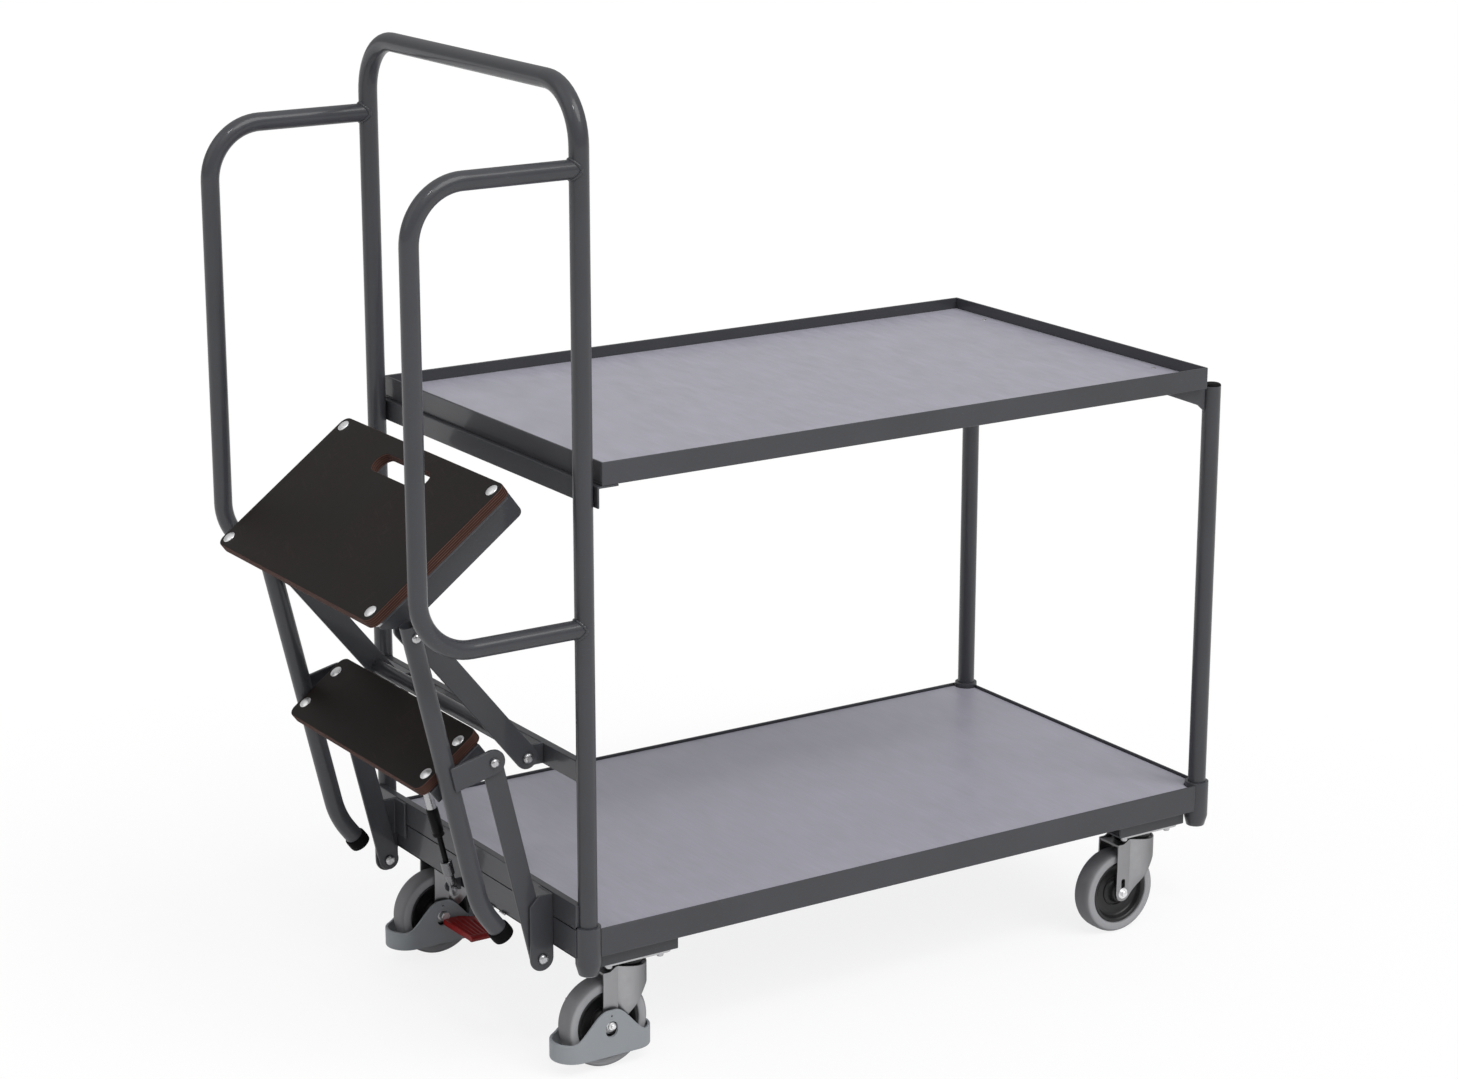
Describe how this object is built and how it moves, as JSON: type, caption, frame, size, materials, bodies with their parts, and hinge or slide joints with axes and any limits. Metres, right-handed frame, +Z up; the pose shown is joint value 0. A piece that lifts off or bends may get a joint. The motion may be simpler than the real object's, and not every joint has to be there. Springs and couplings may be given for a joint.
{
  "type": "order picking trolley",
  "caption": "Two-deck order picking trolley with a tall push handle, side handrails, swivel casters and a sprung fold-out ladder at the handle end.",
  "frame": {"origin": "middle of the footprint on the floor, under the centre of the box with the ladder folded", "axes": "+Z up, +X from the handle and ladder end to the load end, +Y across to the left of someone pushing"},
  "size_m": [1.338, 0.6, 1.341],
  "materials": {
    "frame_paint": "satin powder coat",
    "board_laminate": "semi-gloss laminate",
    "tread_ply": "film-faced plywood",
    "zinc": "bright zinc",
    "tyre_rubber": "grey non-marking rubber",
    "hub_plastic": "moulded",
    "guard_plastic": "moulded",
    "pedal_plastic": "moulded",
    "shoe_rubber": "matt",
    "cap_plastic": "moulded",
    "spring_black": "gloss black",
    "spring_steel": "plain steel"
  },
  "bodies": {
    "trolley": {"handle_frame": "frame_paint", "handrail_near": "frame_paint", "handrail_far": "frame_paint", "lower_crossbar": "frame_paint", "mid_crossbar": "frame_paint", "corner_sockets": "frame_paint", "base_beam_near": "frame_paint", "base_beam_far": "frame_paint", "base_beam_handle": "frame_paint", "base_beam_load": "frame_paint", "base_board": "board_laminate", "load_posts": "frame_paint", "post_caps": "cap_plastic", "shelf_rim_near": "frame_paint", "shelf_rim_far": "frame_paint", "shelf_rim_handle": "frame_paint", "shelf_rim_load": "frame_paint", "shelf_board": "board_laminate", "shelf_end_rail": "frame_paint", "shelf_gussets": "frame_paint", "upper_arm_brackets": "frame_paint", "lower_arm_brackets": "frame_paint", "arm_pivot_bolts": "zinc", "caster_channels": "frame_paint", "caster_bolts": "zinc", "caster_plates": "zinc", "spring_bracket": "frame_paint"},
    "lower_arm_pair": {"lower_arms": "frame_paint"},
    "ladder": {"top_tread": "tread_ply", "lower_tread": "tread_ply", "tread_bolts": "zinc", "top_tread_supports": "frame_paint", "lower_tread_supports": "frame_paint", "ladder_leg_near": "frame_paint", "ladder_leg_far": "frame_paint", "leg_shoes": "shoe_rubber", "leg_links": "frame_paint", "ladder_pivot_bolts": "zinc", "spring_clevis": "frame_paint"},
    "upper_arm_pair": {"upper_arms": "frame_paint", "arm_brace": "frame_paint"},
    "spring_piston": {"spring_rod": "spring_steel"},
    "spring_barrel": {"spring_cylinder": "spring_steel", "spring_collar": "spring_black"},
    "swivel_handle_near": {"fork_handle_near": "zinc", "guard_handle_near": "guard_plastic"},
    "wheel_handle_near": {"hub_handle_near": "hub_plastic", "tyre_handle_near": "tyre_rubber"},
    "pedal_handle_near": {"brake_pedal_handle_near": "pedal_plastic"},
    "swivel_handle_far": {"fork_handle_far": "zinc", "guard_handle_far": "guard_plastic"},
    "wheel_handle_far": {"hub_handle_far": "hub_plastic", "tyre_handle_far": "tyre_rubber"},
    "pedal_handle_far": {"brake_pedal_handle_far": "pedal_plastic"},
    "swivel_load_near": {"fork_load_near": "zinc"},
    "wheel_load_near": {"hub_load_near": "hub_plastic", "tyre_load_near": "tyre_rubber"},
    "swivel_load_far": {"fork_load_far": "zinc"},
    "wheel_load_far": {"hub_load_far": "hub_plastic", "tyre_load_far": "tyre_rubber"}
  },
  "joints": [
    {"name": "ladder_fold", "type": "hinge", "parent": "trolley", "child": "lower_arm_pair", "pos_m": [-0.4255, 0, 0.1645], "axis": [0, -1, 0], "range_deg": [0, 66.73], "stiffness_Nm_per_rad": 9, "springref_deg": -42.97},
    {"name": "ladder_level", "type": "hinge", "parent": "lower_arm_pair", "child": "ladder", "pos_m": [-0.4938, 0, 0.45251], "axis": [0, 1, 0], "range_deg": [0, 103.44]},
    {"name": "upper_arm_swing", "type": "hinge", "parent": "trolley", "child": "upper_arm_pair", "pos_m": [-0.4245, 0, 0.436], "axis": [0, -1, 0], "range_deg": [0, 50.96]},
    {"name": "spring_swing", "type": "hinge", "parent": "trolley", "child": "spring_piston", "pos_m": [-0.4255, 0.025, 0.185], "axis": [0, -1, 0], "range_deg": [0, 70.33]},
    {"name": "spring_stroke", "type": "slide", "parent": "spring_piston", "child": "spring_barrel", "axis": [-0.2376, 0, 0.9714], "range_m": [0, 0.01359]},
    {"name": "swivel_handle_near", "type": "hinge", "parent": "trolley", "child": "swivel_handle_near", "pos_m": [-0.3095, -0.236, 0.147], "axis": [0, 0, 1], "continuous": true},
    {"name": "roll_handle_near", "type": "hinge", "parent": "swivel_handle_near", "child": "wheel_handle_near", "pos_m": [-0.3425, -0.236, 0.0625], "axis": [0, 1, 0], "continuous": true},
    {"name": "brake_handle_near", "type": "hinge", "parent": "swivel_handle_near", "child": "pedal_handle_near", "pos_m": [-0.3225, -0.196, 0.055], "axis": [-1, 0, 0], "range_deg": [0, 14]},
    {"name": "swivel_handle_far", "type": "hinge", "parent": "trolley", "child": "swivel_handle_far", "pos_m": [-0.3095, 0.236, 0.147], "axis": [0, 0, 1], "continuous": true},
    {"name": "roll_handle_far", "type": "hinge", "parent": "swivel_handle_far", "child": "wheel_handle_far", "pos_m": [-0.3425, 0.236, 0.0625], "axis": [0, 1, 0], "continuous": true},
    {"name": "brake_handle_far", "type": "hinge", "parent": "swivel_handle_far", "child": "pedal_handle_far", "pos_m": [-0.3225, 0.196, 0.055], "axis": [1, 0, 0], "range_deg": [0, 14]},
    {"name": "swivel_load_near", "type": "hinge", "parent": "trolley", "child": "swivel_load_near", "pos_m": [0.5705, -0.236, 0.147], "axis": [0, 0, 1], "continuous": true},
    {"name": "roll_load_near", "type": "hinge", "parent": "swivel_load_near", "child": "wheel_load_near", "pos_m": [0.5375, -0.236, 0.0625], "axis": [0, 1, 0], "continuous": true},
    {"name": "swivel_load_far", "type": "hinge", "parent": "trolley", "child": "swivel_load_far", "pos_m": [0.5705, 0.236, 0.147], "axis": [0, 0, 1], "continuous": true},
    {"name": "roll_load_far", "type": "hinge", "parent": "swivel_load_far", "child": "wheel_load_far", "pos_m": [0.5375, 0.236, 0.0625], "axis": [0, 1, 0], "continuous": true}
  ],
  "couplings": [
    {"joint": "ladder_level", "follows": "ladder_fold", "ratio": 1.55},
    {"joint": "upper_arm_swing", "follows": "ladder_fold", "ratio": 0.76356},
    {"joint": "spring_swing", "follows": "ladder_fold", "ratio": 1.0537},
    {"joint": "spring_stroke", "follows": "ladder_fold", "m_per_rad": 0.011662}
  ]
}
